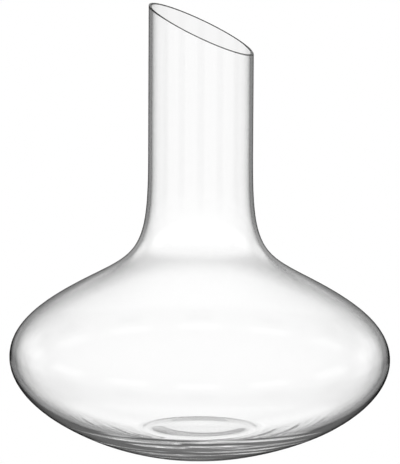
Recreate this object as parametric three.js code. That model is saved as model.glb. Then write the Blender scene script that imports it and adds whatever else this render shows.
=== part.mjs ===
import * as THREE from 'three';

// Wine decanter: one piece of clear blown glass, with a wide flattened bowl, a straight neck and a
// mouth cut on a slant. Millimetres, +Z up. The origin is the centre of the foot ring, on the table,
// and the high side of the mouth is at -X.

// Driving dimensions of the outer surface. Slopes are in degrees from the horizontal.
const BOWL_RADIUS = 100;
const BOWL_WIDEST_HEIGHT = 48;
const SHOULDER_RADIUS = 59.8;
const SHOULDER_HEIGHT = 88.5;
const SHOULDER_SLOPE = 28.7;
const NECK_RADIUS = 27.5;
const NECK_FOOT_HEIGHT = 154.9;
const MOUTH_HEIGHT = 224.2;
const MOUTH_SLANT = 25.4;
const FOOT_RADIUS = 34.5;
const FOOT_RING_WIDTH = 3.5;
const UNDERSIDE_SLOPE = 13.6;
const PUSH_UP_HEIGHT = 3;
const PUSH_UP_EDGE_SLOPE = 10;

// Thickness of the glass: thick under the wine, thin at the lip.
const NECK_WALL = 1.4;
const SHOULDER_WALL = 1.9;
const BOWL_WALL = 2.7;
const FOOT_WALL = 5;
const PUSH_UP_WALL = 5.6;

// How far each end of a curve holds its direction, as a share of the width or height it crosses.
const UNDERSIDE_HOLD = { sloped: 0.573, upright: 0.416 };
const BELLY_HOLD = { sloped: 0.587, upright: 0.402 };
const NECK_ROOT_HOLD = { sloped: 0.861, upright: 0.715 };
const PUSH_UP_HOLD = 0.5;
const FLOOR_HOLD = { trough: 0.18, crown: 0.8 };

// Facets: around the axis, along each stretch of the wall, and over the round of the lip.
const AROUND = 64;
const UNDERSIDE_STEPS = 7;
const BELLY_STEPS = 8;
const NECK_ROOT_STEPS = 8;
const NECK_STEPS = 1;
const LIP_STEPS = 4;
const PUSH_UP_STEPS = 5;

const slopeOf = (degrees) => Math.tan(THREE.MathUtils.degToRad(degrees));
const point = (radius, height) => new THREE.Vector2(radius, height);

// An arch of the wall, from a point where it slopes to a point where it stands upright.
function arch(sloped, slope, upright, hold) {
  const reach = (upright.x - sloped.x) * hold.sloped;
  const rise = (upright.y - sloped.y) * hold.upright;
  const climb = Math.sign(rise) * Math.abs(reach) * slopeOf(slope);
  const leaving = point(sloped.x + reach, sloped.y + climb);
  const arriving = point(upright.x, upright.y - rise);
  return new THREE.CubicBezierCurve(sloped, leaving, arriving, upright);
}

const reversed = (curve) => new THREE.CubicBezierCurve(curve.v3, curve.v2, curve.v1, curve.v0);

// One stretch of the wall, from the foot upwards: its outer points and, across the glass, its inner
// points. wallAt gives the thickness at each share of the way along.
function stretch(curve, steps, wallAt) {
  const outer = [];
  const inner = [];
  for (let step = 0; step <= steps; step += 1) {
    const share = step / steps;
    const place = curve.getPoint(share);
    const along = curve.getTangent(share);
    const inward = point(-along.y, along.x);
    outer.push(place);
    inner.push(place.clone().addScaledVector(inward, wallAt(share)));
  }
  return { outer, inner };
}

const foot = point(FOOT_RADIUS, 0);
const widest = point(BOWL_RADIUS, BOWL_WIDEST_HEIGHT);
const shoulder = point(SHOULDER_RADIUS, SHOULDER_HEIGHT);
const neckFoot = point(NECK_RADIUS, NECK_FOOT_HEIGHT);
const lipFoot = point(NECK_RADIUS, MOUTH_HEIGHT - NECK_WALL / 2);

// The thick glass of the foot thins quickly towards the bowl, then evenly by way of the shoulder to
// the neck.
const undersideWall = (share) => BOWL_WALL + (FOOT_WALL - BOWL_WALL) * (1 - share) ** 2;
const bellyWall = (share) => THREE.MathUtils.lerp(BOWL_WALL, SHOULDER_WALL, share);
const neckRootWall = (share) => THREE.MathUtils.lerp(SHOULDER_WALL, NECK_WALL, share);
const neckWall = () => NECK_WALL;

const stretches = [
  stretch(arch(foot, UNDERSIDE_SLOPE, widest, UNDERSIDE_HOLD), UNDERSIDE_STEPS, undersideWall),
  stretch(reversed(arch(shoulder, SHOULDER_SLOPE, widest, BELLY_HOLD)), BELLY_STEPS, bellyWall),
  stretch(arch(shoulder, SHOULDER_SLOPE, neckFoot, NECK_ROOT_HOLD), NECK_ROOT_STEPS, neckRootWall),
  stretch(new THREE.LineCurve(neckFoot, lipFoot), NECK_STEPS, neckWall),
];

// The push-up under the foot, from the axis down to the foot ring's inner edge.
function pushUp() {
  const edge = point(FOOT_RADIUS - FOOT_RING_WIDTH, 0);
  const crown = point(0, PUSH_UP_HEIGHT);
  const leaving = point(edge.x * PUSH_UP_HOLD, PUSH_UP_HEIGHT);
  const drop = PUSH_UP_HEIGHT * PUSH_UP_HOLD;
  const arriving = point(edge.x - drop / slopeOf(PUSH_UP_EDGE_SLOPE), drop);
  return new THREE.CubicBezierCurve(crown, leaving, arriving, edge).getPoints(PUSH_UP_STEPS);
}

// The inner floor, from where the wall ends above the foot to its crown over the push-up.
function innerFloor(wallEnd) {
  const crown = point(0, PUSH_UP_HEIGHT + PUSH_UP_WALL);
  const dip = wallEnd.x * FLOOR_HOLD.trough;
  const leaving = point(wallEnd.x - dip, wallEnd.y - dip * slopeOf(UNDERSIDE_SLOPE));
  const arriving = point(wallEnd.x * FLOOR_HOLD.crown, crown.y);
  return new THREE.CubicBezierCurve(wallEnd, leaving, arriving, crown).getPoints(PUSH_UP_STEPS);
}

// The round of the lip, from the outer wall over to the inner wall.
function lipRound() {
  const points = [];
  for (let step = 1; step < LIP_STEPS; step += 1) {
    const angle = Math.PI * step / LIP_STEPS;
    const offset = point(Math.cos(angle) - 1, Math.sin(angle)).multiplyScalar(NECK_WALL / 2);
    points.push(lipFoot.clone().add(offset));
  }
  return points;
}

// The closed half-section, from the underside of the push-up round to the floor above it.
function section() {
  const outer = stretches.flatMap((part, index) => part.outer.slice(index === 0 ? 0 : 1));
  const inner = stretches.flatMap((part, index) => part.inner.slice(index === 0 ? 0 : 1)).reverse();
  const floor = innerFloor(inner[inner.length - 1]).slice(1);
  return [...pushUp(), ...outer, ...lipRound(), ...inner, ...floor];
}

// The slant: each ring of the neck tips a little more, up to the full slant at the lip.
function slantMouth(geometry) {
  const places = geometry.getAttribute('position');
  for (let index = 0; index < places.count; index += 1) {
    const height = places.getZ(index);
    const share = (height - neckFoot.y) / (lipFoot.y - neckFoot.y);
    const tip = THREE.MathUtils.clamp(share, 0, 1) * slopeOf(MOUTH_SLANT);
    places.setZ(index, height - tip * places.getX(index));
  }
  geometry.computeVertexNormals();
  return geometry;
}

const clearGlass = new THREE.MeshStandardMaterial({
  color: 0xf2f5f5,
  roughness: 0.03,
  metalness: 0,
  transparent: true,
  opacity: 0.35,
});

const body = new THREE.LatheGeometry(section(), AROUND).rotateX(Math.PI / 2);
const glassBody = new THREE.Mesh(slantMouth(body), clearGlass);
glassBody.name = 'glass_body';

const decanter = new THREE.Group();
decanter.add(glassBody);

export default decanter;
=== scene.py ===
"""A wine decanter of clear blown glass, on a pale table inside a soft white light tent."""

import math

import bpy
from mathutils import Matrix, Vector


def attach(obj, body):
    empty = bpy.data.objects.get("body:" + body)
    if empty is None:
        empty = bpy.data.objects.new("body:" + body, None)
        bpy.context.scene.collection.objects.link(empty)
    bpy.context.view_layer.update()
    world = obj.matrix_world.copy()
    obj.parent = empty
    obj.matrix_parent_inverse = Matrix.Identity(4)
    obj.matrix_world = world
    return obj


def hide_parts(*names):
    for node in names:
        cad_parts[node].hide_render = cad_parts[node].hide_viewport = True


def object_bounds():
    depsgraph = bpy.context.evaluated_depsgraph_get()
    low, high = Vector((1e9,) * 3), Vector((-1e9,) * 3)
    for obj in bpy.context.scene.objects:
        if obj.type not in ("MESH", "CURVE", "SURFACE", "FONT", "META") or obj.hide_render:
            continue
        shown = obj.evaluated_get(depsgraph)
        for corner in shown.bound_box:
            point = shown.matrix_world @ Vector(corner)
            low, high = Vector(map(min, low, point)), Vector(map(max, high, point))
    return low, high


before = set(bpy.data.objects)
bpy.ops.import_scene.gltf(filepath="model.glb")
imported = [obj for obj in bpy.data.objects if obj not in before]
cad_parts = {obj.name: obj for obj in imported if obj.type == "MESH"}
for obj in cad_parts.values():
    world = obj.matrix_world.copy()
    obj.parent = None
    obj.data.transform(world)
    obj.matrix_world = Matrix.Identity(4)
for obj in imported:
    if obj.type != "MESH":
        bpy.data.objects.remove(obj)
cad_low, cad_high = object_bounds()

MM = 0.001

# ---- Sizes of the glass, in millimetres. Slopes are in degrees from the horizontal. ----
BOWL_RADIUS = (cad_high.x - cad_low.x) / 2 / MM
BOWL_WIDEST_HEIGHT = 48
SHOULDER_RADIUS = 59.8
SHOULDER_HEIGHT = 88.5
SHOULDER_SLOPE = 28.7
NECK_RADIUS = 27.5
NECK_FOOT_HEIGHT = 154.9
MOUTH_HEIGHT = 224.2
MOUTH_SLANT = 25.4
FOOT_RADIUS = 34.5
FOOT_RING_WIDTH = 3.5
UNDERSIDE_SLOPE = 13.6
PUSH_UP_HEIGHT = 3
PUSH_UP_EDGE_SLOPE = 10

NECK_WALL = 1.4
SHOULDER_WALL = 1.9
BOWL_WALL = 2.7
FOOT_WALL = 5
PUSH_UP_WALL = 5.6
# A narrow band of facets under the lip keeps the wall's shading straight up to it.
LIP_EDGE = 0.2

# Rings that the blowing leaves in the floor inside: how deep and how far apart they are, the radii
# between which they begin, and the heights between which they end.
RING_DEPTH = 1.8
RING_PITCH = 1.2
RINGS_BEGIN = (32.3, 38.0)
RINGS_END = (15.0, 25.0)
# How strong they are behind, as a share of the front, and how far from the sides that fade reaches, as a
# share of the radius.
RINGS_BACK = 0.05
RINGS_TURN = 0.5
RING_DETAIL = 2.0
RING_ROUGHNESS = 0.6

# The slight lean of the bowl and of the neck, in degrees, and the heights that they start from.
BOWL_LEAN = 0.55
BOWL_LEAN_START = 15
NECK_LEAN = 0.28
NECK_LEAN_START = 60

# How far each end of a curve holds its direction, as a share of the width or height it crosses.
UNDERSIDE_HOLD = (0.573, 0.416)
BELLY_HOLD = (0.587, 0.402)
NECK_ROOT_HOLD = (0.861, 0.715)
PUSH_UP_HOLD = (0.5, 0.5)
FLOOR_HOLD = (0.18, 0.8)

# Points along each stretch of the section, and facets around the axis.
UNDERSIDE_STEPS = 60
BELLY_STEPS = 50
NECK_ROOT_STEPS = 50
NECK_STEPS = 20
LIP_STEPS = 12
PUSH_UP_STEPS = 30
AROUND = 192


# ---- The section of the glass ----

def slope_of(degrees):
    return math.tan(math.radians(degrees))


class Bend:
    """A cubic curve between two points of the section, each a (radius, height) in millimetres."""

    def __init__(self, start, leaving, arriving, end):
        self.points = [Vector(p) for p in (start, leaving, arriving, end)]

    def at(self, share):
        a, b, c, d = self.points
        rest = 1 - share
        return a * rest ** 3 + b * 3 * rest ** 2 * share + c * 3 * rest * share ** 2 + d * share ** 3

    def along(self, share):
        a, b, c, d = self.points
        rest = 1 - share
        way = (b - a) * rest ** 2 + (c - b) * 2 * rest * share + (d - c) * share ** 2
        return way.normalized()

    def backwards(self):
        return Bend(*reversed(self.points))


def arch(sloped, slope, upright, hold):
    """An arch of the wall, from a point where it slopes to a point where it stands upright."""
    reach = (upright[0] - sloped[0]) * hold[0]
    rise = (upright[1] - sloped[1]) * hold[1]
    climb = math.copysign(abs(reach) * slope_of(slope), rise)
    leaving = (sloped[0] + reach, sloped[1] + climb)
    return Bend(sloped, leaving, (upright[0], upright[1] - rise), upright)


def straight(start, end):
    start, end = Vector(start), Vector(end)
    return Bend(start, start.lerp(end, 1 / 3), start.lerp(end, 2 / 3), end)


def lerp(low, high, share):
    return low + (high - low) * share


def wall_stretches():
    """The wall from the foot up to the lip, as (curve, steps, thickness at each share of the way)."""
    foot = (FOOT_RADIUS, 0)
    widest = (BOWL_RADIUS, BOWL_WIDEST_HEIGHT)
    shoulder = (SHOULDER_RADIUS, SHOULDER_HEIGHT)
    neck_foot = (NECK_RADIUS, NECK_FOOT_HEIGHT)
    lip_foot = (NECK_RADIUS, MOUTH_HEIGHT - NECK_WALL / 2)
    under_lip = (NECK_RADIUS, lip_foot[1] - LIP_EDGE)
    return [
        (arch(foot, UNDERSIDE_SLOPE, widest, UNDERSIDE_HOLD), UNDERSIDE_STEPS,
         lambda share: BOWL_WALL + (FOOT_WALL - BOWL_WALL) * (1 - share) ** 2),
        (arch(shoulder, SHOULDER_SLOPE, widest, BELLY_HOLD).backwards(), BELLY_STEPS,
         lambda share: lerp(BOWL_WALL, SHOULDER_WALL, share)),
        (arch(shoulder, SHOULDER_SLOPE, neck_foot, NECK_ROOT_HOLD), NECK_ROOT_STEPS,
         lambda share: lerp(SHOULDER_WALL, NECK_WALL, share)),
        (straight(neck_foot, under_lip), NECK_STEPS, lambda share: NECK_WALL),
        (straight(under_lip, lip_foot), 1, lambda share: NECK_WALL),
    ]


def wall_points():
    """The outer points of the wall from the foot up, and the inner points across the glass from them."""
    outer, inner = [], []
    for curve, steps, thickness in wall_stretches():
        for step in range(0 if not outer else 1, steps + 1):
            share = step / steps
            place, along = curve.at(share), curve.along(share)
            outer.append(place)
            inner.append(place + Vector((-along.y, along.x)) * thickness(share))
    return outer, inner


def section():
    """The closed half-section, from the crown of the push-up round to the floor above it."""
    outer, inner = wall_points()
    ring_edge = Vector((FOOT_RADIUS - FOOT_RING_WIDTH, 0))
    drop = PUSH_UP_HEIGHT * PUSH_UP_HOLD[1]
    push_up = Bend((0, PUSH_UP_HEIGHT), (ring_edge.x * PUSH_UP_HOLD[0], PUSH_UP_HEIGHT),
                   (ring_edge.x - drop / slope_of(PUSH_UP_EDGE_SLOPE), drop), ring_edge)
    crown = Vector((0, PUSH_UP_HEIGHT + PUSH_UP_WALL))
    trough = inner[0]
    dip = trough.x * FLOOR_HOLD[0]
    floor = Bend(trough, (trough.x - dip, trough.y - dip * slope_of(UNDERSIDE_SLOPE)),
                 (trough.x * FLOOR_HOLD[1], crown.y), crown)
    lip_centre = outer[-1].lerp(inner[-1], 0.5)
    lip = [lip_centre + Vector((math.cos(turn), math.sin(turn))) * NECK_WALL / 2
           for turn in (math.pi * step / LIP_STEPS for step in range(1, LIP_STEPS))]
    shares = [step / PUSH_UP_STEPS for step in range(PUSH_UP_STEPS + 1)]
    outside = [push_up.at(share) for share in shares] + outer
    inside = inner[::-1] + [floor.at(share) for share in shares[1:]]
    return outside, lip, inside


# ---- Node helpers ----

def add(tree, kind, inputs=None, **settings):
    """Adds a node, with its settings, and fills its sockets with values or links."""
    node = tree.nodes.new(kind)
    for name, value in settings.items():
        setattr(node, name, value)
    for socket, value in (inputs or {}).items():
        if isinstance(value, bpy.types.NodeSocket):
            tree.links.new(value, node.inputs[socket])
        else:
            node.inputs[socket].default_value = value
    return node


def maths(tree, operation, first, second=0.0):
    return add(tree, "ShaderNodeMath", {0: first, 1: second}, operation=operation).outputs[0]


def times(tree, *factors):
    product = factors[0]
    for factor in factors[1:]:
        product = maths(tree, "MULTIPLY", product, factor)
    return product


def fade(tree, value, span, low=0.0, high=1.0):
    """Passes smoothly from low to high while the value crosses the span."""
    return add(tree, "ShaderNodeMapRange",
               {"Value": value, "From Min": span[0], "From Max": span[1], "To Min": low, "To Max": high},
               interpolation_type="SMOOTHSTEP").outputs[0]


# ---- Turning the section into the vessel ----

# The mark of a point on the lip, how near to it a facet's mark has to be, and in metres how near two
# points are that become one.
ON_LIP = 0.5
LIP_MARGIN = 0.1
SEAM_GAP = 1e-6


def section_line():
    """The half-section as a line of vertices in the XZ plane. "within" is 0 on the outside, 1 on the
    inside and halfway between on the lip."""
    outside, lip, inside = section()
    line = bpy.data.meshes.new("section_line")
    points = [(p.x * MM, 0, p.y * MM) for p in outside + lip + inside]
    line.from_pydata(points, [(i, i + 1) for i in range(len(points) - 1)], [])
    within = line.attributes.new("within", "FLOAT", "POINT")
    within.data.foreach_set("value", [0.0] * len(outside) + [ON_LIP] * len(lip) + [1.0] * len(inside))
    return line


def lathe_tree():
    """Turns a line of vertices about Z. The floor inside gets the faint rings that the blowing leaves, the
    bowl and the neck lean a little, the mouth tips, and the seam and the two poles close."""
    tree = bpy.data.node_groups.new("glass_lathe", "GeometryNodeTree")
    sockets = {"Section": "Geometry", "Facets": "Int", "Ring Depth": "Float", "Ring Pitch": "Float",
               "Bowl Lean": "Float", "Neck Lean": "Float", "Neck Foot": "Float", "Lip Foot": "Float",
               "Slant": "Float", "Glass": "Material", "Lip Glass Painted Shade": "Material"}
    for name, kind in sockets.items():
        tree.interface.new_socket(name, in_out="INPUT", socket_type=f"NodeSocket{kind}")
    tree.interface.new_socket("Vessel", in_out="OUTPUT", socket_type="NodeSocketGeometry")
    given = add(tree, "NodeGroupInput").outputs

    # A grid with a row for each point of the section and a column for each facet, with one more column
    # that closes the turn.
    size = add(tree, "GeometryNodeAttributeDomainSize", {"Geometry": given["Section"]})
    stations = size.outputs["Point Count"]
    grid = add(tree, "GeometryNodeMeshGrid",
               {"Vertices X": maths(tree, "ADD", given["Facets"], 1), "Vertices Y": stations})
    index = add(tree, "GeometryNodeInputIndex").outputs[0]
    row = maths(tree, "MODULO", index, stations)
    column = maths(tree, "FLOOR", maths(tree, "DIVIDE", maths(tree, "ADD", index, 0.5), stations))
    turn = times(tree, maths(tree, "DIVIDE", column, given["Facets"]), 2 * math.pi)
    east, north = maths(tree, "COSINE", turn), maths(tree, "SINE", turn)

    def from_section(field, kind):
        return add(tree, "GeometryNodeSampleIndex",
                   {"Geometry": given["Section"], "Value": field, "Index": row},
                   data_type=kind).outputs["Value"]

    place = from_section(add(tree, "GeometryNodeInputPosition").outputs[0], "FLOAT_VECTOR")
    split = add(tree, "ShaderNodeSeparateXYZ", {0: place}).outputs
    radius, height = split["X"], split["Z"]
    mark = add(tree, "GeometryNodeInputNamedAttribute", {"Name": "within"}, data_type="FLOAT")
    within = from_section(mark.outputs[0], "FLOAT")

    ring_place = add(tree, "ShaderNodeCombineXYZ",
                     {"X": maths(tree, "DIVIDE", radius, given["Ring Pitch"]), "Y": east, "Z": north})
    ring_noise = add(tree, "ShaderNodeTexNoise",
                     {"Vector": ring_place.outputs[0], "Scale": 1.0, "Detail": RING_DETAIL,
                      "Roughness": RING_ROUGHNESS})
    ring_height = maths(tree, "SUBTRACT", ring_noise.outputs[0], 0.5)
    low_down = fade(tree, height, [end * MM for end in RINGS_END], 1.0, 0.0)
    beyond_floor = fade(tree, radius, [begin * MM for begin in RINGS_BEGIN])
    in_front = fade(tree, north, (-RINGS_TURN, RINGS_TURN), 1.0, RINGS_BACK)
    rings = times(tree, ring_height, given["Ring Depth"], within, low_down, beyond_floor, in_front)

    x, y = times(tree, radius, east), times(tree, radius, north)
    off_table = fade(tree, height, (0.0, BOWL_LEAN_START * MM))
    under_neck = fade(tree, height, (SHOULDER_HEIGHT * MM, given["Neck Foot"]), 1.0, 0.0)
    lean = times(tree, x, given["Bowl Lean"], off_table, under_neck)
    up_neck = add(tree, "ShaderNodeMapRange",
                  {"Value": height, "From Min": given["Neck Foot"], "From Max": given["Lip Foot"]})
    tip = times(tree, up_neck.outputs[0], given["Slant"], x)
    z = maths(tree, "SUBTRACT", maths(tree, "ADD", height, rings), maths(tree, "ADD", lean, tip))
    rise = maths(tree, "MAXIMUM", maths(tree, "SUBTRACT", height, NECK_LEAN_START * MM), 0.0)
    x = maths(tree, "ADD", x, times(tree, rise, given["Neck Lean"]))

    marked = tree.nodes.new("GeometryNodeCaptureAttribute")
    marked.capture_items.new("FLOAT", "within")
    tree.links.new(grid.outputs["Mesh"], marked.inputs["Geometry"])
    tree.links.new(within, marked.inputs["within"])
    turned = add(tree, "GeometryNodeSetPosition",
                 {"Geometry": marked.outputs["Geometry"],
                  "Position": add(tree, "ShaderNodeCombineXYZ", {"X": x, "Y": y, "Z": z}).outputs[0]})
    closed = add(tree, "GeometryNodeMergeByDistance", {"Geometry": turned.outputs[0], "Distance": SEAM_GAP})
    smooth = add(tree, "GeometryNodeSetShadeSmooth", {"Geometry": closed.outputs[0]})
    real = add(tree, "GeometryNodeRealizeInstances", {"Geometry": smooth.outputs[0]})
    glazed = add(tree, "GeometryNodeSetMaterial", {"Geometry": real.outputs[0], "Material": given["Glass"]})
    off_lip = maths(tree, "ABSOLUTE", maths(tree, "SUBTRACT", marked.outputs["within"], ON_LIP))
    on_lip = add(tree, "FunctionNodeCompare", {0: off_lip, 1: LIP_MARGIN}, operation="LESS_THAN")
    # The lip gets the darker glass, whose colour is painted shade for the dark line round the mouth.
    lipped = add(tree, "GeometryNodeSetMaterial",
                 {"Geometry": glazed.outputs[0], "Selection": on_lip.outputs[0],
                  "Material": given["Lip Glass Painted Shade"]})
    add(tree, "NodeGroupOutput", {0: lipped.outputs[0]})
    return tree


def turned_piece(name, tree, base, values):
    """Runs a tree on a base mesh with its inputs set, and returns the result as a plain mesh object."""
    maker = bpy.data.objects.new(name + "_maker", base)
    bpy.context.scene.collection.objects.link(maker)
    modifier = maker.modifiers.new("lathe", "NODES")
    modifier.node_group = tree
    for item in tree.interface.items_tree:
        if item.name in values:
            modifier[item.identifier] = values[item.name]
    graph = bpy.context.evaluated_depsgraph_get()
    mesh = bpy.data.meshes.new_from_object(maker.evaluated_get(graph))
    mesh.name = name
    bpy.data.objects.remove(maker)
    piece = bpy.data.objects.new(name, mesh)
    bpy.context.scene.collection.objects.link(piece)
    return piece


# ---- Materials ----

def linear(code):
    """An sRGB hex colour as linear RGBA."""
    parts = [int(code[i:i + 2], 16) / 255 for i in (1, 3, 5)]
    return [p / 12.92 if p <= 0.04045 else ((p + 0.055) / 1.055) ** 2.4 for p in parts] + [1.0]


# Soda-lime glass: its refractive index, and how it tints and dims what goes through it. The lip is seen
# edge on, through far more glass than the wall, so it draws a dark line round the mouth. Its darker
# colour is painted shade that stands for that line.
GLASS_IOR = 1.52
GLASS_DEPTH_COLOUR = "#E4EFEA"
GLASS_DENSITY = 1.5
WALL_COLOUR = "#FFFFFF"
LIP_PAINTED_SHADE_COLOUR = "#404040"


def clear_glass(name, colour):
    """Smooth clear glass: it bends what is behind it and darkens at its edges, and nothing else shows."""
    material = bpy.data.materials.new(name)
    material.use_nodes = True
    tree = material.node_tree
    tree.nodes.clear()
    shader = add(tree, "ShaderNodeBsdfPrincipled",
                 {"Base Color": linear(colour), "Roughness": 0.0, "IOR": GLASS_IOR,
                  "Transmission Weight": 1.0})
    depth = add(tree, "ShaderNodeVolumeAbsorption",
                {"Color": linear(GLASS_DEPTH_COLOUR), "Density": GLASS_DENSITY})
    add(tree, "ShaderNodeOutputMaterial", {"Surface": shader.outputs[0], "Volume": depth.outputs[0]})
    return material


# ---- The decanter ----

decanter = turned_piece("decanter_glass", lathe_tree(), section_line(), {
    "Facets": AROUND,
    "Ring Depth": RING_DEPTH * MM,
    "Ring Pitch": RING_PITCH * MM,
    "Bowl Lean": slope_of(BOWL_LEAN),
    "Neck Lean": slope_of(NECK_LEAN),
    "Neck Foot": NECK_FOOT_HEIGHT * MM,
    "Lip Foot": (MOUTH_HEIGHT - NECK_WALL / 2) * MM,
    "Slant": slope_of(MOUTH_SLANT),
    "Glass": clear_glass("blown_soda_lime_glass", WALL_COLOUR),
    # The lip's glass is tinted dark: painted shade for the dark line round the mouth.
    "Lip Glass Painted Shade": clear_glass("fire_polished_lip_painted_shade", LIP_PAINTED_SHADE_COLOUR),
})
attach(decanter, "root")
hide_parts("glass_body")
# The light comes from all round, so the decanter leaves the table plain white.
decanter.visible_shadow = False
decanter.visible_diffuse = False


# ---- Stage: camera and table ----

# The camera looks a little down from far away. Lens and sensor are in millimetres, angles in degrees.
CAMERA_ELEVATION = 11.35
CAMERA_LENS = 1400
SENSOR = 36
FRAME_HEIGHT = 243.36 * MM
AIM = Vector((0.15 * MM, 0, 115.64 * MM))
# How far the table top reaches from the decanter, in metres: past what any view shows.
TABLE_REACH = 60.0


def make_camera():
    data = bpy.data.cameras.new("camera")
    data.lens = CAMERA_LENS
    data.sensor_width = SENSOR
    camera = bpy.data.objects.new("camera", data)
    bpy.context.scene.collection.objects.link(camera)
    tilt = math.radians(CAMERA_ELEVATION)
    back = Vector((0, -math.cos(tilt), math.sin(tilt)))
    camera.location = AIM + back * (CAMERA_LENS / SENSOR * FRAME_HEIGHT)
    camera.rotation_mode = "QUATERNION"
    camera.rotation_quaternion = (-back).to_track_quat("-Z", "Y")
    bpy.context.scene.camera = camera


def make_table():
    """A matt white table top. Light that has been through the glass comes from the tent and not from it."""
    corners = ((-1, -1), (1, -1), (1, 1), (-1, 1))
    mesh = bpy.data.meshes.new("table_top")
    mesh.from_pydata([(x * TABLE_REACH, y * TABLE_REACH, 0) for x, y in corners], [], [(0, 1, 2, 3)])
    material = bpy.data.materials.new("matt_white_table_top")
    material.use_nodes = True
    material.node_tree.nodes.clear()
    paint = add(material.node_tree, "ShaderNodeBsdfDiffuse", {"Color": linear("#FFFFFF")})
    add(material.node_tree, "ShaderNodeOutputMaterial", {"Surface": paint.outputs[0]})
    mesh.materials.append(material)
    table = bpy.data.objects.new("table_top", mesh)
    bpy.context.scene.collection.objects.link(table)
    table.visible_transmission = False
    table.visible_glossy = False


# ---- Stage: light tent ----

# The tent's parts are given by two directions in degrees, between which they fade: sideways from the
# middle of the nearest panel, or above the horizon. Levels are brightnesses, with 1 for white.

# Light that goes straight through the glass: white panels behind it, one at every step of the turn. From
# a direction with a gap behind it, and not a panel, the glass looks smoky grey.
PANEL_STEP = 45.0
PANEL_SIDE = (7.0, 19.0)
PANEL_TOP = (8.0, 30.0)
PANEL_FOOT = (-46.0, -31.0)
PANEL_LEVEL = 1.11
PANEL_LEVEL_BY_ONE_WALL = 0.99
GAP_LEVEL = 0.42
BEYOND_PANEL_LEVEL = 0.04

# Light that the glass turned aside: the dim room just under the horizon, which is darker in line with a
# panel and hardly shows in the first reflection.
ROOM_SIDE = (5.0, 11.0)
ROOM_NEAR_LEVEL = 0.02
ROOM_FAR_LEVEL = 0.34
SHEEN_SHARE = 0.05
# The wall above it, with a brighter panel in line with each white one.
WALL_FOOT = (-9.0, 0.0)
WALL_LEVEL = 0.37
WALL_PANEL_FOOT = (3.0, 11.0)
WALL_PANEL_TOP = (16.0, 26.0)
WALL_PANEL_LEVEL = 0.9
# The table below it, brighter close by.
TABLE_EDGE = (-38.0, -16.0)
TABLE_LEVEL = 0.45
TABLE_NEAR = (-48.0, -37.0)
TABLE_NEAR_LEVEL = 0.9

# A wall of glass is two surfaces, and a path has been through more than one wall when it has crossed more
# than ONE_WALL. The world counts a path's depth from 1, so any reflection takes it over STRAIGHT.
ONE_WALL = 2.5
STRAIGHT = 1.5


def light_tent():
    """White all round for the eye and for the table, and for the glass a tent of soft panels."""
    world = bpy.data.worlds.new("light_tent")
    bpy.context.scene.world = world
    world.use_nodes = True
    tree = world.node_tree
    tree.nodes.clear()

    def mix(share, low, high):
        return add(tree, "ShaderNodeMix", {0: share, 2: low, 3: high}).outputs[0]

    way = add(tree, "ShaderNodeTexCoord").outputs["Generated"]
    split = add(tree, "ShaderNodeSeparateXYZ", {0: way}).outputs
    azimuth = maths(tree, "DEGREES", maths(tree, "ARCTAN2", split["X"], split["Y"]))
    folded = add(tree, "ShaderNodeMath", {0: azimuth, 1: PANEL_STEP / 2, 2: -PANEL_STEP / 2},
                 operation="WRAP").outputs[0]
    beside = maths(tree, "ABSOLUTE", folded)
    height = maths(tree, "DEGREES", maths(tree, "ARCSINE", split["Z"]))
    path = add(tree, "ShaderNodeLightPath").outputs

    on_side = fade(tree, beside, PANEL_SIDE, 1.0, 0.0)
    in_height = times(tree, fade(tree, height, PANEL_FOOT), fade(tree, height, PANEL_TOP, 1.0, 0.0))
    both_walls = maths(tree, "GREATER_THAN", path["Transmission Depth"], ONE_WALL)
    panel_level = mix(both_walls, PANEL_LEVEL_BY_ONE_WALL, PANEL_LEVEL)
    behind = mix(in_height, BEYOND_PANEL_LEVEL, mix(on_side, GAP_LEVEL, panel_level))

    entered = maths(tree, "GREATER_THAN", path["Transmission Depth"], 0.5)
    room_level = mix(fade(tree, beside, ROOM_SIDE), ROOM_NEAR_LEVEL, ROOM_FAR_LEVEL)
    room = times(tree, room_level, mix(entered, SHEEN_SHARE, 1.0))
    on_wall_panel = times(tree, on_side, fade(tree, height, WALL_PANEL_FOOT),
                          fade(tree, height, WALL_PANEL_TOP, 1.0, 0.0))
    wall = mix(on_wall_panel, WALL_LEVEL, WALL_PANEL_LEVEL)
    table = mix(fade(tree, height, TABLE_NEAR, 1.0, 0.0), TABLE_LEVEL, TABLE_NEAR_LEVEL)
    over_table = mix(fade(tree, height, WALL_FOOT), room, wall)
    around = mix(fade(tree, height, TABLE_EDGE, 1.0, 0.0), over_table, table)

    reflections = maths(tree, "SUBTRACT", path["Ray Depth"], path["Transmission Depth"])
    straight_on = maths(tree, "LESS_THAN", reflections, STRAIGHT)
    by_glass = maths(tree, "MAXIMUM", path["Is Glossy Ray"], path["Is Transmission Ray"])
    strength = mix(by_glass, 1.0, mix(straight_on, around, behind))
    panel = add(tree, "ShaderNodeBackground", {"Color": linear("#FFFFFF"), "Strength": strength})
    add(tree, "ShaderNodeOutputWorld", {"Surface": panel.outputs[0]})


make_camera()
make_table()
light_tent()
bpy.context.scene.view_settings.view_transform = "Standard"
